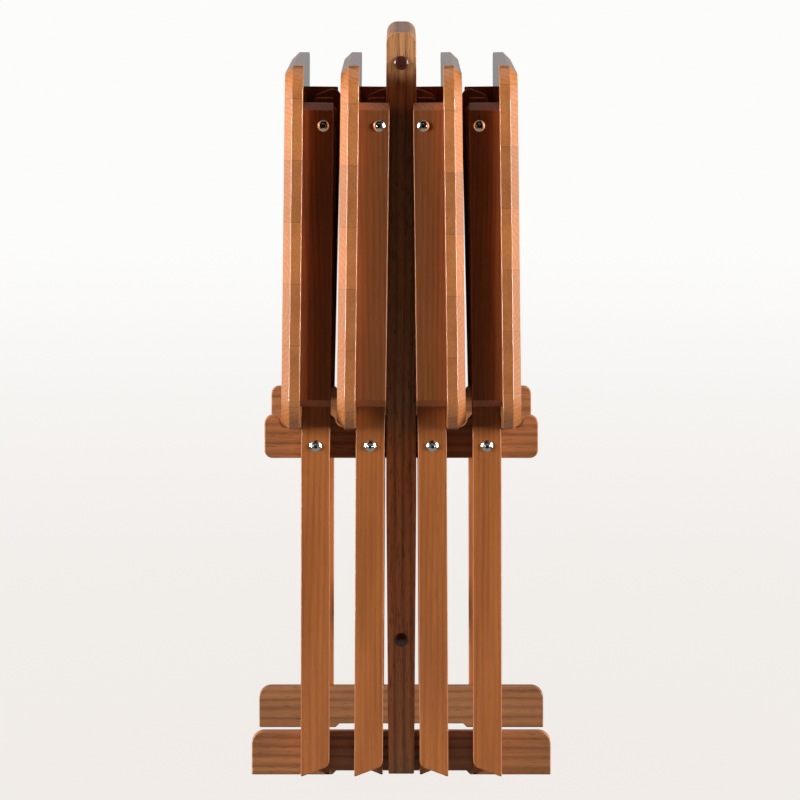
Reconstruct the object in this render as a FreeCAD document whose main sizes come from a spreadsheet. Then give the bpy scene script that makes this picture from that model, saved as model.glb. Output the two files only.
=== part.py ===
"""Nested set of four folding tray tables on a storage stand.

Each table is a flat tray on two battens (cleats).  A pair of outer legs hangs
from the cleats on pivot bolts, and a pair of inner legs crosses the outer legs
on a second pair of bolts.  Folded, a table is a thin upright pack.  Two packs
stand on each side of the stand with the bottom edge of every tray in a notch
of the front and rear brackets.

Frame: millimetres, +Z up, +X to the right, the front of the stand faces -Y.
The origin is on the floor under the middle of the stand.
"""
import FreeCAD, Part
import os
import Sketcher

doc = FreeCAD.newDocument("folding_tray_tables")

# ---------------------------------------------------------------- driving sizes
SIZES = [
    # stand
    ("upright_width", 30.4, "width of an upright over its parallel length"),
    ("upright_toe_width", 26.0, "width of an upright at its lower end"),
    ("upright_thick", 15.8, "thickness of an upright"),
    ("upright_above", 33.4, "how far the uprights stand above the trays"),
    ("upright_toe", 3.0, "gap from the floor to the lower end of an upright"),
    ("taper_start", 285.0, "height where the uprights start to taper"),
    ("crown_radius", 11.0, "rounding of the upright and top rail shoulders"),
    ("frame_gap", 0.7, "gap from an upright to the outer legs in front of it"),
    ("frame_clear", 1.0, "least gap from a foot or bracket to the inner legs"),
    ("foot_thick", 16.0, "thickness of a foot and of a bracket"),
    ("foot_overhang", 13.5, "how far a foot reaches beyond its bracket"),
    ("foot_height", 44.5, "height of a foot"),
    ("foot_radius", 13.0, "rounding of the upper corners of a foot"),
    ("foot_pad", 82.0, "length of the part of a foot that stands on the floor"),
    ("foot_relief", 4.0, "height of the relief between the two pads"),
    ("bracket_lobe", 15.9, "from the outermost notch to the end of a bracket"),
    ("bracket_height", 43.0, "height of a bracket"),
    ("bracket_radius", 8.0, "rounding of the bracket ends"),
    ("notch_depth", 12.7, "depth of the notches"),
    ("notch_radius", 8.0, "rounding of the outer floor corner of a notch"),
    ("notch_lead", 4.5, "lead-in chamfer at the top of a notch"),
    ("notch_play_out", 1.8, "gap from a tray face to its notch"),
    ("notch_play_in", 1.0, "gap from a tray underside to its notch"),
    ("seat_gap", 0.6, "gap from a tray edge to the notch floor"),
    ("top_rail_height", 44.0, "height of the top rail"),
    ("low_rail_width", 20.0, "width of the lower rail"),
    ("low_rail_height", 44.0, "height of the lower rail"),
    ("low_rail_level", 140.0, "height of the middle of the lower rail"),
    ("plug_radius", 7.0, "radius of a wooden plug"),
    ("plug_dome", 2.6, "how far a plug stands proud"),
    ("plug_seat", 4.0, "depth of a plug in its upright"),
    ("frame_screw_radius", 2.2, "radius of the frame screws"),
    ("frame_screw_bite", 9.0, "depth of a frame screw in an upright"),
    ("frame_screw_pitch", 20.0, "distance between the two screws of a joint"),
    # tray tables
    ("tray_length", 483.0, "length of a tray"),
    ("tray_width", 368.0, "width of a tray"),
    ("tray_thick", 18.7, "thickness of a tray"),
    ("tray_corner", 34.0, "radius of the tray corners"),
    ("tray_bevel", 8.0, "bevel round the upper face of a tray"),
    ("tray_above_pivot", 59.6, "from the pivot to the near long edge of a tray"),
    ("pivot_drop", 20.4, "from the underside of a tray to the pivot"),
    ("cleat_inset", 12.0, "from the end of a tray to the face of its cleat"),
    ("cleat_thick", 14.0, "thickness of a cleat"),
    ("cleat_depth", 30.7, "how far a cleat stands off the tray"),
    ("cleat_margin", 25.0, "from the lower edge of a tray to the cleat"),
    ("cross_margin", 40.0, "least gap from the crossing bolt to the cleat"),
    ("cleat_above_pivot", 22.6, "from the pivot to the near end of a cleat"),
    ("cleat_bevel", 7.0, "bevel on the ends of a cleat"),
    ("leg_width", 29.0, "width of a leg"),
    ("leg_thick", 13.5, "thickness of a leg"),
    ("leg_gap", 0.5, "side play between cleat, outer leg and inner leg"),
    ("floor_gap", 1.7, "gap from the floor to the legs of a stored table"),
    ("leg_below", 337.3, "from the crossing bolt to the tip of a leg"),
    ("toe_radius", 9.0, "rounding of the short corner of a leg end"),
    ("pivot_rise", 324.0, "from the crossing bolt up to the tray pivot"),
    ("tray_nest", 1.6, "how far the legs nest towards a leaning tray"),
    ("outer_top", 25.0, "from the tray pivot to the top of an outer leg"),
    ("outer_flare", 7.0, "how much the free edge of an outer leg flares out"),
    ("outer_round", 9.0, "rounding of the top of an outer leg"),
    ("inner_top", 12.0, "from the tray pivot to the top of an inner leg"),
    ("inner_narrow", 1.5, "how much the free edge of an inner leg draws in"),
    ("leg_draw", 7.0, "how much the tray side of a leg draws in at the pivot"),
    ("leg_rail_drop", 59.0, "from the tray pivot down to the outer leg rail"),
    ("leg_rail_height", 30.0, "height of the outer leg rail"),
    ("leg_rail_thick", 8.0, "thickness of the outer leg rail"),
    ("rail_play", 0.6, "play round the outer leg rail in its notches"),
    ("top_bar_width", 19.0, "width of the inner leg bar"),
    ("top_bar_height", 20.0, "height of the inner leg bar"),
    ("top_bar_drop", 17.0, "from the top of an inner leg down to its bar"),
    ("catch_end", 39.4, "from a catch block to the lower edge of the tray"),
    ("catch_play", 16.8, "from the middle of the bar to a catch block"),
    ("catch_length", 20.0, "length of a catch block"),
    ("catch_depth", 12.0, "how far a catch block stands off the tray"),
    ("catch_width", 30.0, "width of a catch block"),
    ("catch_gap", 7.5, "gap from a catch block to the inner legs"),
    ("bolt_radius", 3.0, "radius of the pivot bolts"),
    ("bolt_play", 0.05, "running clearance of a bolt in its hole"),
    ("bolt_head", 5.8, "radius of the bolt heads"),
    ("bolt_head_height", 2.6, "height of the bolt heads"),
    ("bolt_socket", 2.3, "radius of the hexagon socket"),
    ("bolt_socket_depth", 1.6, "depth of the hexagon socket"),
    ("bolt_stop", 1.0, "wood left beyond the end of a bolt"),
    ("ease", 1.2, "rounding of the free edges of the wood"),
    # where the packs stand
    ("post_gap", 1.8, "gap from an upright to the legs beside it"),
    ("table_gap", 2.8, "gap from an inner tray to the outer table behind it"),
    ("outer_lean", 0.15, "lean of the legs of the outer tables in degrees"),
    ("inner_lean", 0.30, "lean of the legs of the inner tables in degrees"),
    ("tray_lean", 0.70, "lean of the trays in degrees"),
]

sheet = doc.addObject("Spreadsheet::Sheet", "dims")
for row, (alias, value, meaning) in enumerate(SIZES, start=1):
    sheet.set(f"A{row}", meaning)
    sheet.set(f"B{row}", str(value))
    sheet.setAlias(f"B{row}", alias)
doc.recompute()

parts = []


def number(formula):
    """Return the present value of a formula on the sheet."""
    return float(sheet.evalExpression(formula))


def keep(piece):
    """Count a finished piece as one of the parts that are written out."""
    parts.append(piece)
    return piece


# ------------------------------------------------------------- general builders
def origin_plane(body, role):
    """Return one of a body's own origin planes."""
    return [f for f in body.Origin.OriginFeatures if f.Role == role][0]


def add_outline(sketch, points):
    """Draw a closed outline whose corners are held by formulas."""
    values = [(number(a), number(b)) for a, b in points]
    count = len(points)
    for i in range(count):
        start = FreeCAD.Vector(*values[i], 0)
        end = FreeCAD.Vector(*values[(i + 1) % count], 0)
        sketch.addGeometry(Part.LineSegment(start, end), False)
    for i in range(count):
        sketch.addConstraint(Sketcher.Constraint("Coincident", i, 2, (i + 1) % count, 1))
    for i, (a, b) in enumerate(points):
        for kind, formula, value in (("DistanceX", a, values[i][0]), ("DistanceY", b, values[i][1])):
            held = sketch.addConstraint(Sketcher.Constraint(kind, -1, 1, i, 1, value))
            sketch.setExpression(f"Constraints[{held}]", formula)


def add_circle(sketch, centre, radius):
    """Draw a circle whose centre and radius are held by formulas."""
    place = FreeCAD.Vector(number(centre[0]), number(centre[1]), 0)
    circle = Part.Circle(place, FreeCAD.Vector(0, 0, 1), number(radius))
    index = sketch.addGeometry(circle, False)
    for kind, formula in (("DistanceX", centre[0]), ("DistanceY", centre[1])):
        held = sketch.addConstraint(Sketcher.Constraint(kind, -1, 1, index, 3, number(formula)))
        sketch.setExpression(f"Constraints[{held}]", formula)
    held = sketch.addConstraint(Sketcher.Constraint("Radius", index, number(radius)))
    sketch.setExpression(f"Constraints[{held}]", radius)


def edges_where(shape, test):
    """Name the edges of a shape that pass a test on their middle and direction."""
    names = []
    for i, edge in enumerate(shape.Edges, start=1):
        middle = edge.valueAt((edge.FirstParameter + edge.LastParameter) / 2)
        if test(edge, middle):
            names.append(f"Edge{i}")
    return names


def dress(body, kind, names, size, formula):
    """Add a fillet or a chamfer to a body on the named edges."""
    base = body.Tip
    feature = body.newObject(f"PartDesign::{kind}", f"{body.Name}_{kind.lower()}")
    feature.Base = (base, names)
    feature.setExpression(size, formula)
    doc.recompute()
    return feature


def place(piece, base, lean=None, side=1, turned=False):
    """Put a piece at a base point, leaning about Y or turned round about Z."""
    if lean:
        turn = FreeCAD.Rotation(FreeCAD.Vector(0, -side, 0), 1.0)
    else:
        turn = FreeCAD.Rotation(FreeCAD.Vector(0, 0, 1), 180.0 if turned else 0.0)
    piece.Placement = FreeCAD.Placement(FreeCAD.Vector(), turn)
    for axis, formula in zip("xyz", base):
        piece.setExpression(f"Placement.Base.{axis}", formula)
    if lean:
        piece.setExpression("Placement.Rotation.Angle", lean)


def prism(label, outline, thickness, holes=(), corners=(), pockets=(), ease="dims.ease"):
    """Make a board: an outline in X and Z, given its thickness towards -Y.

    corners lists (x, z, radius) of edges across the thickness to round.
    pockets lists (centres, radius, depth) of blind holes from the face at y = 0.
    """
    body = doc.addObject("PartDesign::Body", label)
    body.Label = label
    sketch = body.newObject("Sketcher::SketchObject", f"{label}_outline")
    sketch.AttachmentSupport = (origin_plane(body, "XZ_Plane"), [""])
    sketch.MapMode = "FlatFace"
    add_outline(sketch, outline)
    pad = body.newObject("PartDesign::Pad", f"{label}_board")
    pad.Profile = sketch
    pad.setExpression("Length", thickness)
    doc.recompute()
    for radius in sorted({r for _, _, r in corners}):
        spots = [(number(x), number(z)) for x, z, r in corners if r == radius]
        across = edges_where(
            body.Tip.Shape,
            lambda e, m: abs(e.tangentAt(e.FirstParameter).y) > 0.9
            and any(abs(m.x - x) < 0.01 and abs(m.z - z) < 0.01 for x, z in spots),
        )
        dress(body, "Fillet", across, "Radius", radius)
    if ease:
        free = edges_where(body.Tip.Shape, lambda e, m: True)
        dress(body, "Fillet", free, "Radius", ease)
    drill(body, label, [(centre, radius, thickness) for centre, radius in holes])
    drill(body, label, pockets)
    return body


def drill(body, label, holes):
    """Bore holes of one radius and depth each, from the face at y = 0."""
    for i, (centre, radius, depth) in enumerate(holes):
        before = body.Tip.Shape.Volume
        sketch = body.newObject("Sketcher::SketchObject", f"{label}_bore_{i}")
        sketch.AttachmentSupport = (origin_plane(body, "XZ_Plane"), [""])
        sketch.MapMode = "FlatFace"
        add_circle(sketch, centre, radius)
        pocket = body.newObject("PartDesign::Pocket", f"{label}_pocket_{i}")
        pocket.Profile = sketch
        pocket.Reversed = True
        pocket.setExpression("Length", depth)
        doc.recompute()
        if body.Tip.Shape.Volume >= before:
            raise RuntimeError(f"a hole in {label} cuts nothing")


def group(label, pieces):
    """Gather like pieces into one part of separate solids."""
    compound = doc.addObject("Part::Compound", label)
    compound.Label = label
    compound.Links = pieces
    return compound


def mirrored(points, side):
    """Mirror an outline to the left side of the stand where side is -1."""
    return [(f"{side} * ({x})", z) for x, z in points]


# ------------------------------------------------ where the pieces meet each other
# Depths from the middle of the set towards either end.
END_FACE = "(dims.tray_length / 2 - dims.cleat_inset)"
OUTER_FACE = f"({END_FACE} - dims.cleat_thick - dims.leg_gap)"
INNER_FACE = f"({OUTER_FACE} - dims.leg_thick - dims.leg_gap)"
OUTER_BACK = f"({OUTER_FACE} - dims.leg_thick)"
INNER_BACK = f"({INNER_FACE} - dims.leg_thick)"
FRAME_FACE = f"min({OUTER_BACK} - dims.frame_gap - dims.upright_thick; {INNER_BACK} - dims.frame_clear)"
FRAME_BACK = f"({FRAME_FACE} - dims.foot_thick)"

# Heights above the floor.
CROSS_LEVEL = "(dims.leg_below + dims.floor_gap)"
TRAY_BELOW = "(dims.tray_width - dims.tray_above_pivot)"
UPRIGHT_TOP = f"({CROSS_LEVEL} + dims.pivot_rise + dims.tray_above_pivot + dims.upright_above)"
LEG_TOP = "(dims.pivot_rise + dims.outer_top)"
INNER_TOP = "(dims.pivot_rise + dims.inner_top)"
LEG_HALF = "dims.leg_width / 2"
PIVOT_INSET = f"(dims.pivot_drop + dims.tray_nest - {LEG_HALF})"
CATCH_REACH = f"({TRAY_BELOW} - dims.catch_end - dims.catch_length)"
OPEN_LEAN = f"asin(({CATCH_REACH} - dims.catch_play) / (2 * dims.pivot_rise))"
CUT_RISE = f"dims.leg_width * tan({OPEN_LEAN})"


def leg_place(kind):
    """Distance of the crossing bolts of a table from the middle plane."""
    inner = f"(dims.upright_width / 2 + dims.post_gap + {LEG_HALF})"
    if kind == "inner":
        return inner
    tray_face = f"({pivot_x('inner')} + (dims.pivot_drop + dims.tray_thick) * cos(dims.tray_lean))"
    flared = f"({LEG_HALF} + dims.outer_flare) * cos(dims.outer_lean)"
    leaning = f"{LEG_TOP} * sin(dims.outer_lean)"
    return f"({tray_face} + dims.table_gap + {flared} + {leaning})"


def pivot_x(kind):
    """Distance of the tray pivots of a table from the middle plane."""
    lean = f"dims.{kind}_lean"
    return f"({leg_place(kind)} - {PIVOT_INSET} * cos({lean}) - dims.pivot_rise * sin({lean}))"


def pivot_z(kind):
    """Height of the tray pivots of a table."""
    lean = f"dims.{kind}_lean"
    return f"({CROSS_LEVEL} - {PIVOT_INSET} * sin({lean}) + dims.pivot_rise * cos({lean}))"


def tray_edge_x(kind, depth):
    """Where the lower edge of a standing tray lies, a depth off its pivot."""
    return f"({pivot_x(kind)} + ({depth}) * cos(dims.tray_lean) + {TRAY_BELOW} * sin(dims.tray_lean))"


def notch_floor(kind):
    """Height of the floor of the notch that carries a tray."""
    edge = f"{pivot_z(kind)} - {TRAY_BELOW} * cos(dims.tray_lean) + dims.pivot_drop * sin(dims.tray_lean)"
    return f"({edge} - dims.seat_gap)"


def notch_side(kind, outer):
    """Distance from the middle plane to the outer or inner side of a notch."""
    if outer:
        return f"({tray_edge_x(kind, 'dims.pivot_drop + dims.tray_thick')} + dims.notch_play_out)"
    return f"({tray_edge_x(kind, 'dims.pivot_drop')} - dims.notch_play_in)"


NOTCH_ROUND = "min(dims.notch_radius; dims.notch_depth - dims.notch_lead)"
BRACKET_TOP = f"({notch_floor('outer')} + dims.notch_depth)"
BRACKET_BASE = f"({BRACKET_TOP} - dims.bracket_height)"
BRACKET_HALF = f"({notch_side('outer', True)} + dims.bracket_lobe)"
FOOT_HALF = f"({BRACKET_HALF} + dims.foot_overhang)"
PLUG_LEVELS = (f"{UPRIGHT_TOP} - dims.top_rail_height * 0.7", "dims.low_rail_level")
SCREW_LEVELS = {
    "foot": "(dims.foot_height / 2)",
    "bracket": f"({BRACKET_BASE} + dims.bracket_height * 0.4)",
}


# ------------------------------------------------------------------- the stand


def screw_centres(joint):
    """Return the two screw centres of a foot or bracket joint, one above the other."""
    level = SCREW_LEVELS[joint]
    return [("0", f"{level} + {sign} * dims.frame_screw_pitch / 2") for sign in (-1, 1)]


def stand_pieces(end, base, turned):
    """Make the upright, the foot and the bracket of one end of the stand."""
    wide = "dims.upright_width / 2"
    toe = "dims.upright_toe_width / 2"
    upright = prism(
        f"upright_{end}",
        [
            (f"-{toe}", "dims.upright_toe"),
            (toe, "dims.upright_toe"),
            (wide, "dims.taper_start"),
            (wide, UPRIGHT_TOP),
            (f"-{wide}", UPRIGHT_TOP),
            (f"-{wide}", "dims.taper_start"),
        ],
        "dims.upright_thick",
        corners=[
            (wide, UPRIGHT_TOP, "dims.crown_radius"),
            (f"-{wide}", UPRIGHT_TOP, "dims.crown_radius"),
        ],
        pockets=[
            (centre, "dims.frame_screw_radius + dims.bolt_play", "dims.frame_screw_bite + 1")
            for joint in SCREW_LEVELS
            for centre in screw_centres(joint)
        ],
    )
    plug_holes(upright, f"upright_{end}")
    place(upright, ("0", f"{base} * {FRAME_FACE}", "0"), turned=turned)
    keep(upright)

    half = FOOT_HALF
    pad_end = f"({half} - dims.foot_pad)"
    foot = prism(
        f"foot_{end}",
        [
            (f"-{half}", "0"),
            (f"-{pad_end}", "0"),
            (f"-{pad_end} + dims.foot_relief", "dims.foot_relief"),
            (f"{pad_end} - dims.foot_relief", "dims.foot_relief"),
            (pad_end, "0"),
            (half, "0"),
            (half, "dims.foot_height"),
            (f"-{half}", "dims.foot_height"),
        ],
        "dims.foot_thick",
        corners=[
            (half, "dims.foot_height", "dims.foot_radius"),
            (f"-{half}", "dims.foot_height", "dims.foot_radius"),
        ],
        holes=[(c, "dims.frame_screw_radius + dims.bolt_play") for c in screw_centres("foot")],
    )
    place(foot, ("0", f"{base} * {FRAME_BACK}", "0"), turned=turned)
    keep(foot)

    bracket = bracket_piece(end)
    place(bracket, ("0", f"{base} * {FRAME_BACK}", "0"), turned=turned)
    keep(bracket)


def plug_holes(upright, label):
    """Sink the two plug seats in the outer face of an upright."""
    for i, level in enumerate(PLUG_LEVELS):
        sketch = upright.newObject("Sketcher::SketchObject", f"{label}_plug_{i}")
        sketch.AttachmentSupport = (origin_plane(upright, "XZ_Plane"), [""])
        sketch.MapMode = "FlatFace"
        sketch.setExpression("AttachmentOffset.Base.z", "dims.upright_thick")
        add_circle(sketch, ("0", level), "dims.plug_radius")
        pocket = upright.newObject("PartDesign::Pocket", f"{label}_plug_seat_{i}")
        pocket.Profile = sketch
        pocket.setExpression("Length", "dims.plug_seat")
        doc.recompute()


def bracket_piece(end):
    """Make the notched bar that carries the lower edges of the four trays."""
    ends = (BRACKET_BASE, BRACKET_TOP)
    corners = [(f"{s} * {BRACKET_HALF}", level, "dims.bracket_radius") for s in (-1, 1) for level in ends]
    right = [(BRACKET_HALF, BRACKET_BASE), (BRACKET_HALF, BRACKET_TOP)]
    for kind in ("outer", "inner"):
        floor = notch_floor(kind)
        outside = notch_side(kind, True)
        inside = notch_side(kind, False)
        right += [
            (f"{outside} + dims.notch_lead", BRACKET_TOP),
            (outside, f"{BRACKET_TOP} - dims.notch_lead"),
            (outside, floor),
            (inside, floor),
            (inside, BRACKET_TOP),
        ]
        corners += [(f"{s} * {outside}", floor, NOTCH_ROUND) for s in (-1, 1)]
    left = mirrored(right, -1)
    return prism(
        f"bracket_{end}",
        right + left[::-1],
        "dims.foot_thick",
        corners=corners,
        holes=[(c, "dims.frame_screw_radius + dims.bolt_play") for c in screw_centres("bracket")],
    )


def rails():
    """Make the two rails that tie the uprights together."""
    wide = "dims.upright_width / 2"
    low = "dims.low_rail_width / 2"
    top_base = f"({UPRIGHT_TOP} - dims.top_rail_height)"
    top_rail = prism(
        "top_rail",
        [(f"-{wide}", top_base), (wide, top_base), (wide, UPRIGHT_TOP), (f"-{wide}", UPRIGHT_TOP)],
        f"2 * {FRAME_FACE}",
        corners=[(f"{s} * {wide}", UPRIGHT_TOP, "dims.crown_radius") for s in (-1, 1)],
    )
    place(top_rail, ("0", FRAME_FACE, "0"))
    keep(top_rail)

    under = "(dims.low_rail_level - dims.low_rail_height / 2)"
    over = "(dims.low_rail_level + dims.low_rail_height / 2)"
    low_rail = prism(
        "lower_rail",
        [(f"-{low}", under), (low, under), (low, over), (f"-{low}", over)],
        f"2 * {FRAME_FACE}",
    )
    place(low_rail, ("0", FRAME_FACE, "0"))
    keep(low_rail)


def cylinder(name, radius, height, base, towards):
    """Make a cylinder along Y from a base point, towards -1 or +1."""
    rod = doc.addObject("Part::Cylinder", name)
    turn = FreeCAD.Rotation(FreeCAD.Vector(1, 0, 0), -90 * towards)
    rod.Placement = FreeCAD.Placement(FreeCAD.Vector(), turn)
    rod.setExpression("Radius", radius)
    rod.setExpression("Height", height)
    for axis, formula in zip("xyz", base):
        rod.setExpression(f"Placement.Base.{axis}", formula)
    return rod


def rounded_rim(name, rod, towards, radius):
    """Round the rim at the outer end of a cylinder into a dome."""
    doc.recompute()
    outer = max(rod.Shape.Vertexes, key=lambda v: towards * v.Point.y).Point.y
    rim = [
        i
        for i, edge in enumerate(rod.Shape.Edges, start=1)
        if all(abs(v.Point.y - outer) < 0.01 for v in edge.Vertexes)
    ]
    dome = doc.addObject("Part::Fillet", name)
    dome.Base = rod
    dome.Edges = [(i, number(radius), number(radius)) for i in rim]
    return dome


def plugs():
    """Make the four domed plugs that close the bolt holes of the uprights."""
    made = []
    for end, towards in (("front", -1), ("rear", 1)):
        for i, level in enumerate(PLUG_LEVELS):
            base = f"{towards} * ({FRAME_FACE} + dims.upright_thick - dims.plug_seat)"
            rod = cylinder(
                f"plug_{end}_{i}",
                "dims.plug_radius - dims.bolt_play",
                "dims.plug_seat + dims.plug_dome",
                ("0", base, level),
                towards,
            )
            made.append(rounded_rim(f"plug_dome_{end}_{i}", rod, towards, "dims.plug_dome * 0.9"))
    keep(group("wood_plugs", made))


def frame_screws():
    """Make the screws that fix the feet and brackets to the uprights."""
    made = []
    for end, towards in (("front", -1), ("rear", 1)):
        for joint in SCREW_LEVELS:
            for i, (x, z) in enumerate(screw_centres(joint)):
                name = f"screw_{end}_{joint}_{i}"
                face = f"{towards} * {FRAME_BACK}"
                shank = cylinder(
                    f"{name}_shank",
                    "dims.frame_screw_radius",
                    "dims.foot_thick + dims.frame_screw_bite",
                    (x, face, z),
                    towards,
                )
                head = cylinder(
                    f"{name}_head",
                    "dims.frame_screw_radius * 2",
                    "dims.frame_screw_radius",
                    (x, face, z),
                    -towards,
                )
                screw = doc.addObject("Part::MultiFuse", name)
                screw.Shapes = [shank, head]
                made.append(screw)
    keep(group("frame_screws", made))


# ------------------------------------------------------------- the tray tables

def board_base(face, thickness, end):
    """Return the Y of a board's y = 0 face from its outer face at one end."""
    if end == "front":
        return f"({thickness} - {face})"
    return face


def leg_table(kind, side, prefix):
    """Make the four legs, their rail, their bar and the crossing bolts."""
    spot = (f"{side} * {leg_place(kind)}", CROSS_LEVEL)

    def stand_at(piece, base_y):
        place(piece, (spot[0], base_y, spot[1]), lean=f"dims.{kind}_lean", side=side)
        return keep(piece)

    outer_outline = [
        (LEG_HALF, "-dims.leg_below"),
        (LEG_HALF, "0"),
        (f"{LEG_HALF} - dims.leg_draw", "dims.pivot_rise"),
        (
            f"{LEG_HALF} - dims.leg_draw",
            f"{LEG_TOP} - (dims.leg_width + dims.outer_flare - dims.leg_draw) * tan({OPEN_LEAN})",
        ),
        (f"-{LEG_HALF} - dims.outer_flare", LEG_TOP),
        (f"-{LEG_HALF}", "0"),
        (f"-{LEG_HALF}", f"-dims.leg_below + {CUT_RISE}"),
    ]
    rail_level = "dims.pivot_rise - dims.leg_rail_drop"
    rail_low = f"({rail_level} - dims.leg_rail_height / 2 - dims.rail_play)"
    rail_high = f"({rail_level} + dims.leg_rail_height / 2 + dims.rail_play)"
    rail_out = f"(-{LEG_HALF} + dims.inner_narrow)"
    rail_in = f"({rail_out} + dims.leg_rail_thick)"
    inner_outline = [
        (f"-{LEG_HALF}", "-dims.leg_below"),
        (LEG_HALF, f"-dims.leg_below + {CUT_RISE}"),
        (LEG_HALF, "0"),
        (f"{LEG_HALF} - dims.leg_draw", "dims.pivot_rise"),
        (f"{LEG_HALF} - dims.leg_draw", INNER_TOP),
        (rail_out, INNER_TOP),
        (rail_out, rail_high),
        (f"{rail_in} + dims.rail_play", rail_high),
        (f"{rail_in} + dims.rail_play", rail_low),
        (rail_out, rail_low),
        (f"-{LEG_HALF}", "0"),
    ]
    cross_hole = ((f"{side} * 0", "0"), "dims.bolt_radius + dims.bolt_play")
    pivot_hole = ((f"{side} * (-{PIVOT_INSET})", "dims.pivot_rise"), "dims.bolt_radius + dims.bolt_play")
    for end in ("front", "rear"):
        outer = prism(
            f"{prefix}_outer_leg_{end}",
            mirrored(outer_outline, side),
            "dims.leg_thick",
            holes=[cross_hole, pivot_hole],
            corners=[
                (f"{side} * (-{LEG_HALF} - dims.outer_flare)", LEG_TOP, "dims.outer_round"),
                (f"{side} * ({outer_outline[3][0]})", outer_outline[3][1], "dims.outer_round"),
                (f"{side} * ({outer_outline[6][0]})", outer_outline[6][1], "dims.toe_radius"),
            ],
        )
        stand_at(outer, board_base(OUTER_FACE, "dims.leg_thick", end))
        inner = prism(
            f"{prefix}_inner_leg_{end}",
            mirrored(inner_outline, side),
            "dims.leg_thick",
            holes=[cross_hole],
            corners=[
                (f"{side} * ({inner_outline[1][0]})", inner_outline[1][1], "dims.toe_radius"),
                (f"{side} * ({inner_outline[4][0]})", inner_outline[4][1], "dims.inner_top / 2"),
            ],
        )
        stand_at(inner, board_base(INNER_FACE, "dims.leg_thick", end))

    rail = prism(
        f"{prefix}_outer_leg_rail",
        mirrored(
            [
                (rail_out, f"{rail_low} + dims.rail_play"),
                (rail_in, f"{rail_low} + dims.rail_play"),
                (rail_in, f"{rail_high} - dims.rail_play"),
                (rail_out, f"{rail_high} - dims.rail_play"),
            ],
            side,
        ),
        f"2 * {OUTER_BACK}",
    )
    stand_at(rail, OUTER_BACK)

    bar_out = f"({rail_out} + dims.rail_play)"
    bar_top = f"({INNER_TOP} - dims.top_bar_drop)"
    bar = prism(
        f"{prefix}_inner_leg_bar",
        mirrored(
            [
                (bar_out, f"{bar_top} - dims.top_bar_height"),
                (f"{bar_out} + dims.top_bar_width", f"{bar_top} - dims.top_bar_height"),
                (f"{bar_out} + dims.top_bar_width", bar_top),
                (bar_out, bar_top),
            ],
            side,
        ),
        f"2 * {INNER_BACK}",
    )
    stand_at(bar, INNER_BACK)

    shank = "2 * dims.leg_thick + dims.leg_gap - dims.bolt_stop"
    bolts = bolt_pair(f"{prefix}_cross_bolts", OUTER_FACE, shank)
    place(bolts, (spot[0], "0", spot[1]))
    keep(bolts)


def bolt_pair(label, face, shank):
    """Make a front and a rear domed bolt with a hexagon socket, heads outwards."""
    made = []
    for end, towards in (("front", -1), ("rear", 1)):
        name = f"{label}_{end}"
        base = f"{towards} * {face}"
        head = cylinder(f"{name}_head", "dims.bolt_head", "dims.bolt_head_height", ("0", base, "0"), towards)
        dome = rounded_rim(f"{name}_dome", head, towards, "dims.bolt_head_height * 0.85")
        rod = cylinder(f"{name}_shank", "dims.bolt_radius", shank, ("0", base, "0"), -towards)
        solid = doc.addObject("Part::MultiFuse", f"{name}_blank")
        solid.Shapes = [dome, rod]
        socket = doc.addObject("Part::Prism", f"{name}_socket")
        socket.Polygon = 6
        socket.Placement = FreeCAD.Placement(
            FreeCAD.Vector(), FreeCAD.Rotation(FreeCAD.Vector(1, 0, 0), -90 * towards)
        )
        socket.setExpression("Circumradius", "dims.bolt_socket")
        socket.setExpression("Height", "dims.bolt_socket_depth + 1")
        socket.setExpression(
            "Placement.Base.y",
            f"{towards} * ({face} + dims.bolt_head_height - dims.bolt_socket_depth)",
        )
        bolt = doc.addObject("Part::Cut", name)
        bolt.Base = solid
        bolt.Tool = socket
        made.append(bolt)
    return group(label, made)


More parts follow.
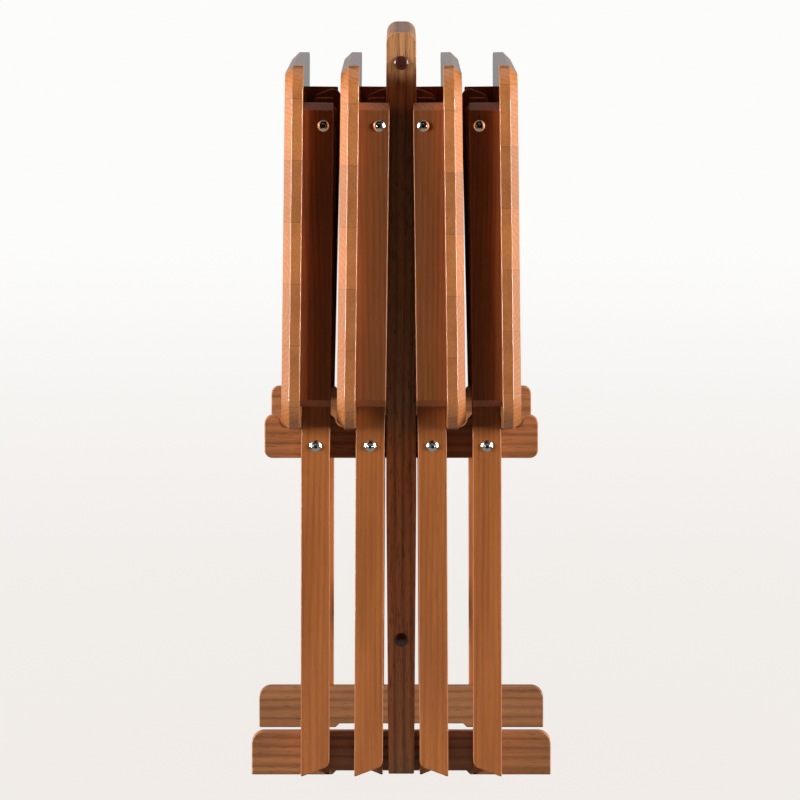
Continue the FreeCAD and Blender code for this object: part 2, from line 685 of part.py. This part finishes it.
def tray_table(kind, side, prefix):
    """Make the tray, its two cleats, the catch blocks and the pivot bolts."""
    spot = (f"{side} * {pivot_x(kind)}", pivot_z(kind))

    def stand_at(piece, base_y):
        place(piece, (spot[0], base_y, spot[1]), lean="dims.tray_lean", side=side)
        return piece

    keep(stand_at(tray_panel(f"{prefix}_tray_top", side), "0"))

    cleat_end = f"max(dims.cleat_margin - {TRAY_BELOW}; dims.cross_margin - dims.pivot_rise)"
    cleat_outline = mirrored(
        [
            ("dims.pivot_drop - dims.cleat_depth", cleat_end),
            ("dims.pivot_drop", cleat_end),
            ("dims.pivot_drop", "dims.cleat_above_pivot"),
            ("dims.pivot_drop - dims.cleat_depth", "dims.cleat_above_pivot"),
        ],
        side,
    )
    for end in ("front", "rear"):
        cleat = prism(f"{prefix}_cleat_{end}", cleat_outline, "dims.cleat_thick", ease=None)
        bevel_cleat(cleat, end)
        drill(
            cleat,
            f"{prefix}_cleat_{end}",
            [(("0", "0"), "dims.bolt_radius + dims.bolt_play", "dims.cleat_thick")],
        )
        keep(stand_at(cleat, board_base(END_FACE, "dims.cleat_thick", end)))

    blocks = []
    catch_outline = mirrored(
        [
            ("dims.pivot_drop", f"-{CATCH_REACH} - dims.catch_length"),
            ("dims.pivot_drop", f"-{CATCH_REACH}"),
            ("dims.pivot_drop - dims.catch_depth", f"-{CATCH_REACH}"),
            ("dims.pivot_drop - dims.catch_depth / 2", f"-{CATCH_REACH} - dims.catch_length"),
        ],
        side,
    )
    for end, sign in (("front", -1), ("rear", 1)):
        block = prism(f"{prefix}_catch_block_{end}", catch_outline, "dims.catch_width")
        middle = f"{sign} * ({INNER_BACK} - dims.catch_gap - dims.catch_width / 2)"
        block.setExpression("Placement.Base.y", f"{middle} + dims.catch_width / 2")
        blocks.append(block)
    keep(stand_at(group(f"{prefix}_catch_blocks", blocks), "0"))

    shank = "dims.cleat_thick + dims.leg_gap + dims.leg_thick - dims.bolt_stop"
    bolts = bolt_pair(f"{prefix}_pivot_bolts", END_FACE, shank)
    place(bolts, (spot[0], "0", spot[1]))
    keep(bolts)


def bevel_cleat(cleat, end):
    """Bevel the ends of a cleat on its outer face, and ease its free long edges."""
    outer_y = -number("dims.cleat_thick") if end == "front" else 0.0
    ends = edges_where(
        cleat.Tip.Shape,
        lambda e, m: abs(m.y - outer_y) < 0.01 and abs(e.tangentAt(e.FirstParameter).x) > 0.9,
    )
    dress(cleat, "Chamfer", ends, "Size", "dims.cleat_bevel")
    free_x = number("dims.pivot_drop - dims.cleat_depth")
    free = edges_where(cleat.Tip.Shape, lambda e, m: abs(abs(m.x) - abs(free_x)) < 0.01)
    dress(cleat, "Fillet", free, "Radius", "dims.ease")


def tray_panel(label, side):
    """Make a tray: a rounded rectangle in Y and Z, bevelled round its face."""
    body = doc.addObject("PartDesign::Body", label)
    body.Label = label
    sketch = body.newObject("Sketcher::SketchObject", f"{label}_outline")
    sketch.AttachmentSupport = (origin_plane(body, "YZ_Plane"), [""])
    sketch.MapMode = "FlatFace"
    sketch.setExpression("AttachmentOffset.Base.z", f"{side} * dims.pivot_drop")
    half = "dims.tray_length / 2"
    add_outline(
        sketch,
        [
            (f"-{half}", f"-{TRAY_BELOW}"),
            (half, f"-{TRAY_BELOW}"),
            (half, "dims.tray_above_pivot"),
            (f"-{half}", "dims.tray_above_pivot"),
        ],
    )
    pad = body.newObject("PartDesign::Pad", f"{label}_panel")
    pad.Profile = sketch
    pad.Reversed = side < 0
    pad.setExpression("Length", "dims.tray_thick")
    doc.recompute()
    upright = edges_where(body.Tip.Shape, lambda e, m: abs(e.tangentAt(e.FirstParameter).x) > 0.9)
    dress(body, "Fillet", upright, "Radius", "dims.tray_corner")
    face = number("dims.pivot_drop + dims.tray_thick")
    rim = edges_where(body.Tip.Shape, lambda e, m: abs(abs(m.x) - face) < 0.01)
    dress(body, "Chamfer", rim, "Size", "dims.tray_bevel")
    edges = edges_where(
        body.Tip.Shape,
        lambda e, m: abs(e.tangentAt(e.FirstParameter).x) < 0.1,
    )
    dress(body, "Fillet", edges, "Radius", "dims.ease")
    return body


# -------------------------------------------------------------------- assembly
stand_pieces("front", -1, False)
stand_pieces("rear", 1, True)
rails()
plugs()
frame_screws()

for table_kind in ("outer", "inner"):
    for table_side, side_name in ((-1, "left"), (1, "right")):
        table = f"{table_kind}_{side_name}"
        leg_table(table_kind, table_side, table)
        tray_table(table_kind, table_side, table)

doc.recompute()

for thing in doc.Objects:
    if {"Invalid", "Error"} & set(thing.State):
        raise RuntimeError(f"{thing.Label} failed: {thing.State}")
for part in parts:
    if part.Shape.isNull() or not part.Shape.isValid():
        raise RuntimeError(f"{part.Label} has no valid shape")

os.makedirs("parts", exist_ok=True)
for part in parts:
    part.Shape.exportStep(f"parts/{part.Label}.step")
print(f"{len(parts)} parts written")
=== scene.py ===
import math

import bmesh
import bpy
import numpy as np
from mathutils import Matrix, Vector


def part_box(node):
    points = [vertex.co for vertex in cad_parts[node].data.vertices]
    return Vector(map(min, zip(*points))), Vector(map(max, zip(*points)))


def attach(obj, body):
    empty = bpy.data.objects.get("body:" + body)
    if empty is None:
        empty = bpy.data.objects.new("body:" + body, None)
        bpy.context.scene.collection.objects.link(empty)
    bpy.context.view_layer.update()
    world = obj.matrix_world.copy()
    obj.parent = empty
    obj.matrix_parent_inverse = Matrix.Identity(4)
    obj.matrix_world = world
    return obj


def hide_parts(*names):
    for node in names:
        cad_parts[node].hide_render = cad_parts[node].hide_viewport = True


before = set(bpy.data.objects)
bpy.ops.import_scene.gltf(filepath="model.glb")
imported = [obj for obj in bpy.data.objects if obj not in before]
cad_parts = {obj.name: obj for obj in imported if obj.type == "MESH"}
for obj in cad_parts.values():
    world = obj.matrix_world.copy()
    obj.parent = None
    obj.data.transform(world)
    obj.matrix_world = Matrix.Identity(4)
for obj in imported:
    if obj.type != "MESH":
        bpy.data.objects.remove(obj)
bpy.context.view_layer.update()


# ----------------------------------------------------------------------- room
# A wide pale floor that glows with painted light, dimmer near the middle and brighter far off,
# under soft studio light from both sides and from behind. A low lamp lying on the floor gives back
# the little light that a pale floor throws up.
def floor_sheet(name, inner, outer):
    """Ring on z = 0: radius runs from inner to outer, angle runs once round."""
    radius = np.linspace(inner, outer, 3)[:, None]
    angle = np.linspace(0, 2 * np.pi, 97)[None, :-1]
    points = np.stack(
        [radius * np.cos(angle), radius * np.sin(angle), 0 * radius * angle], axis=-1
    )
    rows, around = radius.size, angle.size
    first = np.arange((rows - 1) * around).reshape(rows - 1, around)
    after = np.roll(first, -1, axis=1)
    quads = np.stack([first, first + around, after + around, after], axis=-1)
    mesh = bpy.data.meshes.new(name)
    mesh.from_pydata(points.reshape(-1, 3).tolist(), [], quads.reshape(-1, 4).tolist())
    made = bpy.data.objects.new(name, mesh)
    bpy.context.scene.collection.objects.link(made)
    return made


class Feed:
    """One output socket of a material. The signs + - * / ** and abs() add Math nodes."""

    def __init__(self, tree, socket=None):
        self.tree = tree
        self.socket = socket

    def node(self, kind, output=0, settings=None, **sockets):
        """Add a node, set it up, fill its sockets with numbers or feeds, and return one output."""
        made = self.tree.nodes.new(kind)
        for setting, value in (settings or {}).items():
            setattr(made, setting, value)
        by_name = {s.name: s for s in reversed(made.inputs)}
        by_name.update({s.identifier: s for s in made.inputs})
        for name, value in sockets.items():
            target = by_name[name.replace("__", " ")]
            if isinstance(value, Feed):
                self.tree.links.new(value.socket, target)
            else:
                target.default_value = value
        return Feed(self.tree, made.outputs[output])

    def sum(self, operation, first, second=0.0):
        return self.node(
            "ShaderNodeMath", 0, {"operation": operation}, Value=first, Value_001=second
        )

    def __add__(self, other):
        return self.sum("ADD", self, other)

    def __sub__(self, other):
        return self.sum("SUBTRACT", self, other)

    def __rsub__(self, other):
        return self.sum("SUBTRACT", other, self)

    def __mul__(self, other):
        return self.sum("MULTIPLY", self, other)

    def __truediv__(self, other):
        return self.sum("DIVIDE", self, other)

    def __rtruediv__(self, other):
        return self.sum("DIVIDE", other, self)

    def __pow__(self, other):
        return self.sum("POWER", self, other)

    def __abs__(self):
        return self.sum("ABSOLUTE", self)

    __radd__ = __add__
    __rmul__ = __mul__

    def between(self, low, high):
        """0 below low, 1 above high, and a smooth rise between the two."""
        return self.node(
            "ShaderNodeMapRange",
            0,
            {"interpolation_type": "SMOOTHSTEP"},
            **{"Value": self, "From__Min": low, "From__Max": high},
        )

    def blend(self, below, above):
        """A colour that goes from below to above as this feed goes from 0 to 1."""
        return self.node(
            "ShaderNodeMix",
            2,
            {"data_type": "RGBA", "clamp_factor": True},
            Factor_Float=self,
            A_Color=below if isinstance(below, Feed) else (*below, 1),
            B_Color=above if isinstance(above, Feed) else (*above, 1),
        )


def finish(name):
    """A new material with its Principled shader, and a feed to write sums from."""
    made = bpy.data.materials.new(name)
    made.use_nodes = True
    return made, made.node_tree.nodes["Principled BSDF"], Feed(made.node_tree)


def wear(shader, tree, constants, **sockets):
    """Set a shader's constants, and link the feeds that change over the surface."""
    for name, value in constants.items():
        shader.inputs[name].default_value = value
    for name, feed in sockets.items():
        tree.links.new(feed.socket, shader.inputs[name.replace("_", " ")])


pale, shader, ink = finish("pale_floor")
spot = ink.node("ShaderNodeTexCoord", 3)
far_off = ink.node("ShaderNodeVectorMath", 1, {"operation": "LENGTH"}, Vector=spot)
# Painted light: the floor glows by itself, dimmer near the middle and brighter far off.
glow = far_off.between(-1.0, 9.0).blend((0.860, 0.822, 0.790), (0.975, 0.972, 0.962))
wear(
    shader,
    pale.node_tree,
    {"Base Color": (0.07, 0.068, 0.065, 1), "Roughness": 0.9, "Specular IOR Level": 0.0,
     "Emission Strength": 1.0},
    Emission_Color=glow,
)
sheet = floor_sheet("floor", 0.001, 150.0)
sheet.data.materials.append(pale)
sheet.visible_diffuse = False
sheet.visible_glossy = False

world = bpy.data.worlds.new("studio")
world.use_nodes = True
world.node_tree.nodes["Background"].inputs["Color"].default_value = (0.97, 0.97, 0.96, 1)
bpy.context.scene.world = world
world.cycles_visibility.diffuse = False
world.cycles_visibility.glossy = False
bpy.context.scene.view_settings.view_transform = "Standard"


def softbox(name, place, aim, width, height, power):
    """A soft rectangular lamp at a place, turned to face its aim."""
    lamp = bpy.data.lights.new(name, "AREA")
    lamp.shape = "RECTANGLE"
    lamp.size = width
    lamp.size_y = height
    lamp.energy = power
    made = bpy.data.objects.new(name, lamp)
    made.location = place
    gaze = np.array(aim) - np.array(place)
    flat = math.hypot(gaze[0], gaze[1])
    turn = math.atan2(gaze[1], gaze[0]) - math.pi / 2
    made.rotation_euler = (math.pi / 2 + math.atan2(gaze[2], flat), 0, turn)
    made.visible_camera = False
    bpy.context.scene.collection.objects.link(made)
    return made


middle = (0, 0, 0.40)
near_end = (0, -0.23, 0.45)
# Lamps linked to this group light everything but the floor, so none leaves a bright band on it.
off_floor = bpy.data.collections.new("lit_beside_floor")
off_floor.objects.link(sheet)
for member in off_floor.collection_objects:
    member.light_linking.link_state = "EXCLUDE"
for side in (-1, 1):
    front = softbox(f"side_front_{side}", (side * 4.2, -1.32, 0.85), near_end, 0.55, 3.0, 365)
    rear = softbox(f"side_rear_{side}", (side * 2.6, 1.6, 0.9), middle, 1.6, 2.0, 22)
    for lamp in (front, rear):
        lamp.light_linking.receiver_collection = off_floor
softbox("overhead", (0, 0.5, 3.1), (0, 0, 0), 2.6, 2.4, 12)
card = softbox("back_card", (0, 7.0, 1.5), (0, 0, 0.7), 9.0, 3.2, 28)
card.light_linking.receiver_collection = off_floor
softbox("front_fill", (0, -4.5, 2.2), middle, 2.0, 1.0, 0.2)
softbox("floor_bounce", (0, -0.62, 0.003), (0, -0.62, 1), 1.5, 1.0, 1.15)

DISTANCE, EYE_LEVEL, LOOK_DOWN = 6.7175, 0.9453, 4.919
camera = bpy.data.cameras.new("camera")
camera.sensor_width = 36
camera.lens = 291.0
camera.shift_x = -0.0016
watcher = bpy.data.objects.new("camera", camera)
watcher.location = (0, -DISTANCE, EYE_LEVEL)
watcher.rotation_euler = (math.radians(90 - LOOK_DOWN), 0, 0)
bpy.context.scene.collection.objects.link(watcher)
bpy.context.scene.camera = watcher


# ---------------------------------------------------------------------- stand
# Two slim uprights joined by a handle rail and a low rail, with a foot and a notched
# bracket screwed across each. All are stained hardwood with open pores, lacquered thinly.
def linear(red, green, blue):
    """Screen colour steps 0 to 255 as the light values that shaders use."""
    steps = np.array([red, green, blue]) / 255
    light = np.where(steps < 0.04045, steps / 12.92, ((steps + 0.055) / 1.055) ** 2.4)
    return tuple(light.tolist())


AXES = {"X": 0, "Y": 1, "Z": 2}
draw = np.random.default_rng(11)


def timber(name, node, along, tones, lean=0.0, pores=1.0, rings=900.0, figure=0.3,
           gloss=0.5, haze=0.16, edge=0.5, stave=0.0, dark_end=0.35, ripple=0.6):
    """Wood whose growth rings, streaks and pores run along one axis of the piece.

    Rings are even steps of the distance from a pith beside the piece, warped slowly along
    the grain. Streaks and pores are noise drawn out along it. tones are the early wood,
    the late wood and the pore colour. A stave width cuts the piece into glued strips.
    """
    made, shader, ink = finish(name)
    low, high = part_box(node)
    centre = [(a + b) / 2 for a, b in zip(low, high)]
    shift = draw.uniform(-4, 4, 3)
    raw = ink.node("ShaderNodeTexCoord", 3)
    home = ink.node(
        "ShaderNodeMapping", Vector=raw, Location=[-c for c in centre]
    )
    level = ink.node("ShaderNodeMapping", Vector=home, Rotation=(0, math.radians(lean), 0))
    parts = {
        axis: ink.node("ShaderNodeSeparateXYZ", index, Vector=level) for axis, index in AXES.items()
    }
    across = [axis for axis in AXES if axis != along]
    if stave:
        strips = parts["Z"] / stave + float(draw.uniform(0, 1))
        strip = strips.sum("FLOOR", strips)
        odd = ink.node("ShaderNodeTexWhiteNoise", 0, {"noise_dimensions": "1D"}, W=strip)
        seam = abs(strips - strip - 0.5).between(0.492, 0.499)
        throw = odd * 7.3
    else:
        throw = 0.0

    def stretched(wide, long, detail, rough=0.55):
        scale = [wide] * 3
        scale[AXES[along]] = long
        drawn = ink.node("ShaderNodeMapping", Vector=level, Location=shift.tolist(), Scale=scale)
        if stave:
            drawn = ink.node(
                "ShaderNodeVectorMath", 0, {"operation": "ADD"}, Vector=drawn,
                Vector_001=ink.node("ShaderNodeCombineXYZ", 0, X=throw, Y=throw, Z=throw),
            )
        return ink.node(
            "ShaderNodeTexNoise", 0, None, Vector=drawn, Scale=1.0, Detail=detail, Roughness=rough
        )

    slow = stretched(14.0, 2.2, 2.0)
    cloud = stretched(30.0, 5.0, 3.0)
    streak = stretched(420.0, 7.0, 3.0)
    fibre = stretched(1500.0, 26.0, 2.0)
    pith = draw.uniform(0.03, 0.07, 2)
    first = parts[across[0]] + float(pith[0]) + throw * 0.004
    second = parts[across[1]] + float(pith[1])
    radius = (first * first + second * second) ** 0.5
    ring = ink.node(
        "ShaderNodeMath", 0, {"operation": "SINE"}, Value=(radius + slow * 0.012) * rings
    )
    late = (ring * 0.5 + 0.5) ** 2.0
    facing = ink.node("ShaderNodeTexCoord", 1)
    sides = [
        abs(ink.node("ShaderNodeSeparateXYZ", index, Vector=facing)) for index in range(3)
    ]
    end_grain = sides[AXES[along]].between(0.80, 0.95)
    grain = late * (1 - end_grain * 0.75) * figure + streak * 0.62 + fibre * 0.30
    pit = stretched(1700.0, 75.0, 1.0).between(0.60, 0.70) * pores
    tint = grain.between(0.28, 0.98).blend(tones[0], tones[1])
    dusky = ink.node(
        "ShaderNodeVectorMath", 0, {"operation": "MULTIPLY"},
        Vector=tint, Vector_001=(0.78, 0.74, 0.70),
    )
    tint = cloud.between(0.30, 0.75).blend(tint, dusky)
    if stave:
        tint = ink.node(
            "ShaderNodeVectorMath", 0, {"operation": "SCALE"}, Vector=tint, Scale=odd * 0.34 + 0.83
        )
        tint = (seam * 0.5).blend(tint, tones[2])
    tint = (pit * 0.75).blend(tint, tones[2])
    flattest = ink.sum("MAXIMUM", ink.sum("MAXIMUM", sides[0], sides[1]), sides[2])
    rub = (1 - flattest).between(0.02, 0.20) * cloud.between(0.35, 0.65)
    tint = (rub * edge).blend(tint, tones[0])
    tint = (end_grain * dark_end).blend(tint, tones[1])
    swell = stretched(55.0, 16.0, 1.0) * ripple
    lump = grain * 0.5 - pit * 0.9 + swell
    bump = ink.node("ShaderNodeBump", 0, None, Strength=0.35, Distance=0.00022, Height=lump)
    wear(
        shader,
        made.node_tree,
        {"Coat Roughness": haze, "Specular IOR Level": 0.4, "Coat IOR": 1.5},
        Base_Color=tint,
        Roughness=0.46 + grain * 0.12 + pit * 0.2,
        Coat_Weight=gloss * (1 - pit * 0.7),
        Normal=bump,
    )
    return made


def coat(node, made):
    """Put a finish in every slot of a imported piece."""
    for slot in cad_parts[node].material_slots:
        slot.material = made


post_tones = (linear(228, 164, 108), linear(164, 110, 68), linear(76, 46, 28))
cross_tones = (linear(196, 130, 80), linear(146, 92, 54), linear(74, 42, 24))
# Board tones are scaled as painted light and shade: the rear foot darker, the front foot and both
# brackets paler.
PAINTED_LIGHT_SHADE = {"foot_front": 1.2, "foot_rear": 0.68, "bracket_front": 1.35, "bracket_rear": 1.15}
for end in ("front", "rear"):
    node = f"upright_{end}"
    coat(node, timber(f"{node}_wood", node, "Z", post_tones, gloss=0.35))
    for piece in ("foot", "bracket"):
        node = f"{piece}_{end}"
        # Painted light and shade: this board's tones are scaled by its factor.
        tones = [tuple(step * PAINTED_LIGHT_SHADE[node] for step in tone) for tone in cross_tones]
        coat(node, timber(f"{node}_wood", node, "X", tones, pores=0.8, gloss=0.35))
for node in ("top_rail", "lower_rail"):
    coat(node, timber(f"{node}_wood", node, "Y", cross_tones, pores=0.8, gloss=0.5))


# ---------------------------------------------------------------- wooden plugs
# Domed buttons of dark wood cover the bolts that join the rails to the uprights. Each is
# turned, with a small step where it meets the upright, and polished.
def turned(name, profile, spots, form=None, sides=60):
    """Turned pieces on lines along Y: a profile of reach, radius and form is carried round.

    At each profile point the circle is drawn towards the form, by the point's third number.
    A spot is x, y, z and the direction of the reach, -1 or 1. Both poles are single points.
    """
    reach, radius, pull = np.array(profile, float).T
    angle = np.linspace(0, 2 * np.pi, sides, endpoint=False)
    shape = form(angle) if form else np.ones(sides)
    wide = radius[:, None] * (1 + pull[:, None] * (shape[None, :] - 1))
    around = np.arange(sides)
    after = np.roll(around, -1)
    rings = reach.size
    points, faces = [], []
    for x, y, z, towards in spots:
        base = sum(len(block) for block in points)
        ring = [
            x + wide * np.cos(angle),
            np.broadcast_to(y + towards * reach[:, None], wide.shape),
            z + wide * np.sin(angle),
        ]
        points.append(np.stack(ring, axis=-1).reshape(-1, 3))
        points.append(np.array([[x, y + towards * reach[0], z], [x, y + towards * reach[-1], z]]))
        rows = base + np.arange(rings - 1)[:, None] * sides
        above = rows + sides
        quads = np.stack([rows + around, rows + after, above + after, above + around], -1)
        faces += quads.reshape(-1, 4).tolist()
        last = base + (rings - 1) * sides
        pole = np.full(sides, base + rings * sides)
        faces += np.stack([pole, base + after, base + around], -1).tolist()
        faces += np.stack([pole + 1, last + around, last + after], -1).tolist()
    mesh = bpy.data.meshes.new(name)
    mesh.from_pydata(np.concatenate(points).tolist(), [], faces)
    shell = bmesh.new()
    shell.from_mesh(mesh)
    bmesh.ops.recalc_face_normals(shell, faces=shell.faces)
    shell.to_mesh(mesh)
    shell.free()
    mesh.polygons.foreach_set("use_smooth", [True] * len(mesh.polygons))
    mesh.set_sharp_from_angle(angle=math.radians(38))
    made = bpy.data.objects.new(name, mesh)
    bpy.context.scene.collection.objects.link(made)
    return made


MM = 0.001
PLUG_RADIUS = 7.0 * MM
low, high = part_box("wood_plugs")
PLUG_DOME = 2.6 * MM
dome = np.linspace(0.06, math.pi / 2, 14)[::-1]
plug_profile = [(-4.0 * MM, 6.4 * MM, 0), (-0.4 * MM, 6.4 * MM, 0), (0.0, PLUG_RADIUS, 0)]
PLUG_STEP = 0.35 * MM
plug_profile += [
    (PLUG_STEP + (PLUG_DOME - PLUG_STEP) * math.cos(a), PLUG_RADIUS * math.sin(a), 0) for a in dome
]
plug_spots = [
    (0, end * (high.y - PLUG_DOME), level, end)
    for end in (-1, 1)
    for level in (low.z + PLUG_RADIUS, high.z - PLUG_RADIUS)
]
plugs = turned("plug_buttons", plug_profile, plug_spots)
dark, shader, ink = finish("plug_polish")
raw = ink.node("ShaderNodeTexCoord", 3)
drawn = ink.node("ShaderNodeMapping", Vector=raw, Scale=(900.0, 40.0, 260.0))
vein = ink.node("ShaderNodeTexNoise", 0, None, Vector=drawn, Scale=1.0, Detail=3.0)
wear(
    shader,
    dark.node_tree,
    {"Coat Weight": 0.9, "Coat Roughness": 0.06},
    Base_Color=vein.between(0.3, 0.75).blend(linear(92, 40, 24), linear(48, 18, 12)),
    Roughness=0.30 + vein * 0.15,
    Normal=ink.node("ShaderNodeBump", 0, None, Strength=0.2, Distance=0.0001, Height=vein),
)
plugs.data.materials.append(dark)
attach(plugs, "stand")
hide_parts("wood_plugs")


# ----------------------------------------------------------------- stand screws
# Pan-headed zinc screws hold the feet and brackets to the uprights from the inside, two to
# a joint, driven into pilot holes with a cross driver.
def cross(angle):
    """Distance to the sides of a cross with four tapering wings."""
    return 0.36 + 0.64 * np.abs(np.cos(2 * angle)) ** 3


low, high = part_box("frame_screws")
HEAD_RADIUS = 4.4 * MM
SCREW_PITCH = 20 * MM
inside = -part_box("foot_front")[1].y
screw_levels = [low.z + HEAD_RADIUS, low.z + HEAD_RADIUS + SCREW_PITCH]
screw_levels += [high.z - HEAD_RADIUS - SCREW_PITCH, high.z - HEAD_RADIUS]
screw_profile = [
    (-25.0, 0.3, 0), (-22.0, 1.7, 0), (-0.2, 2.2, 0), (0.0, 4.1, 0), (0.5, 4.4, 0), (1.1, 4.25, 0),
    (1.7, 3.5, 0), (2.1, 2.6, 0.1), (2.15, 2.2, 0.9), (1.2, 1.7, 1), (0.6, 0.7, 1), (0.5, 0.2, 1),
]
screw_profile = [(reach * MM, radius * MM, pull) for reach, radius, pull in screw_profile]
screws = turned(
    "frame_screw_set",
    screw_profile,
    [(0, end * inside, level, -end) for end in (-1, 1) for level in screw_levels],
    form=cross,
)


def plated(name, bright, dull, low_gloss, high_gloss):
    """Plated steel: fine handling marks change its colour and gloss a little."""
    made, shader, ink = finish(name)
    raw = ink.node("ShaderNodeTexCoord", 3)
    marks = ink.node(
        "ShaderNodeTexNoise", 0, None, Vector=raw, Scale=700.0, Detail=4.0, Roughness=0.65
    )
    rubs = ink.node("ShaderNodeTexNoise", 0, None, Vector=raw, Scale=190.0, Detail=2.0)
    wear(
        shader,
        made.node_tree,
        {"Metallic": 1.0},
        Base_Color=(marks * 0.6 + rubs * 0.5).between(0.35, 0.8).blend(bright, dull),
        Roughness=low_gloss + marks.between(0.4, 0.8) * high_gloss,
        Normal=ink.node("ShaderNodeBump", 0, None, Strength=0.12, Distance=0.00005, Height=marks),
    )
    return made


zinc = plated("zinc_plate", (0.62, 0.62, 0.60), (0.42, 0.42, 0.40), 0.28, 0.2)
screws.data.materials.append(zinc)
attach(screws, "stand")
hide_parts("frame_screws")

# ----------------------------------------------------------------------- legs
# Straight-grained strips, four to a table, eased along every edge. Each carries a stiff
# rail or bar between its pair, and turns on the crossing bolt halfway up.
leg_tones = (linear(192, 112, 52), linear(148, 82, 34), linear(78, 38, 14))
TABLES = [(place, side) for place in ("outer", "inner") for side in ("left", "right")]
for place, side in TABLES:
    table = f"{place}_{side}"
    for node in (f"{leg}_leg_{end}" for leg in ("outer", "inner") for end in ("front", "rear")):
        name = f"{table}_{node}"
        coat(name, timber(f"{name}_wood", name, "Z", leg_tones, pores=0.35, rings=1700.0,
                          figure=0.16, gloss=0.4))
    for node in ("outer_leg_rail", "inner_leg_bar"):
        name = f"{table}_{node}"
        coat(name, timber(f"{name}_wood", name, "Y", leg_tones, pores=0.35, gloss=0.3))


# ---------------------------------------------------------------------- trays
# Each tray is a panel of strips glued edge to edge, bevelled all round its upper face and
# sealed with a warm, glossy lacquer. It leans a little in the rack.
tray_tones = (linear(216, 136, 74), linear(168, 96, 48), linear(84, 42, 20))
TRAY_LEAN = 0.7
LEAN = {"left": 1, "right": -1}
for place, side in TABLES:
    name = f"{place}_{side}_tray_top"
    tilt = TRAY_LEAN * LEAN[side]
    coat(name, timber(f"{name}_wood", name, "Y", tray_tones, lean=tilt, pores=0.3, rings=1500.0,
                      figure=0.16, gloss=1.0, haze=0.07, edge=0.3, stave=0.062, dark_end=0.0,
                      ripple=2.5))


# --------------------------------------------------------------------- cleats
# A batten across each end of the underside carries the tray pivots. Its ends are cut on
# the slant. Two small blocks near the far edge catch the bar when the table is open.
cleat_tones = (linear(178, 104, 52), linear(134, 74, 36), linear(72, 36, 18))
for place, side in TABLES:
    for end in ("front", "rear"):
        name = f"{place}_{side}_cleat_{end}"
        tilt = TRAY_LEAN * LEAN[side]
        coat(name, timber(f"{name}_wood", name, "Z", cleat_tones, lean=tilt, pores=0.35,
                          rings=1700.0, figure=0.16, gloss=0.4))
    name = f"{place}_{side}_catch_blocks"
    coat(name, timber(f"{name}_wood", name, "Y", cleat_tones, pores=0.35, gloss=0.2))


# ---------------------------------------------------------------------- bolts
# Nickel-plated bolts with low domed heads and a hexagon socket. A long one at each end
# carries cleat, outer leg and inner leg, and a shorter one joins the legs where they cross.
def hexagon(angle):
    """Distance to a hexagon's sides, as a share of the distance to its corners."""
    return math.cos(math.pi / 6) / np.cos(angle % (math.pi / 3) - math.pi / 6)


nickel = plated("nickel_plate", (0.90, 0.87, 0.80), (0.74, 0.70, 0.62), 0.20, 0.14)
HEAD_HEIGHT = 2.6
BALL = 7.8
HEAD_PROFILE = [(0.0, 5.6, 0), (0.1, 5.8, 0)]
HEAD_PROFILE += [
    (math.sqrt(BALL**2 - r**2) - BALL + HEAD_HEIGHT, r, 0) for r in np.linspace(5.62, 2.5, 12)
]
HEAD_PROFILE += [
    (2.02, 2.35, 0.9), (1.75, 2.3, 1), (1.05, 2.25, 1), (0.95, 1.8, 1), (0.85, 0.5, 0.5),
]
for place, side in TABLES:
    for node, reach in (("pivot_bolts", 41.0), ("cross_bolts", 26.5)):
        name = f"{place}_{side}_{node}"
        low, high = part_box(name)
        profile = [(-reach, 2.5, 0), (-reach + 0.5, 3.0, 0), (-0.01, 3.0, 0), *HEAD_PROFILE]
        profile = [(along * MM, radius * MM, pull) for along, radius, pull in profile]
        x, z = (low.x + high.x) / 2, (low.z + high.z) / 2
        spots = [(x, end * (high.y - HEAD_HEIGHT * MM), z, end) for end in (-1, 1)]
        pair = turned(f"{name}_turned", profile, spots, form=hexagon)
        pair.data.materials.append(nickel)
        rider = f"{place}_{side}_table"
        if place == "outer":
            rider = f"outer_{side}_tray" if node == "pivot_bolts" else f"outer_{side}_legs"
        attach(pair, rider)
        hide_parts(name)
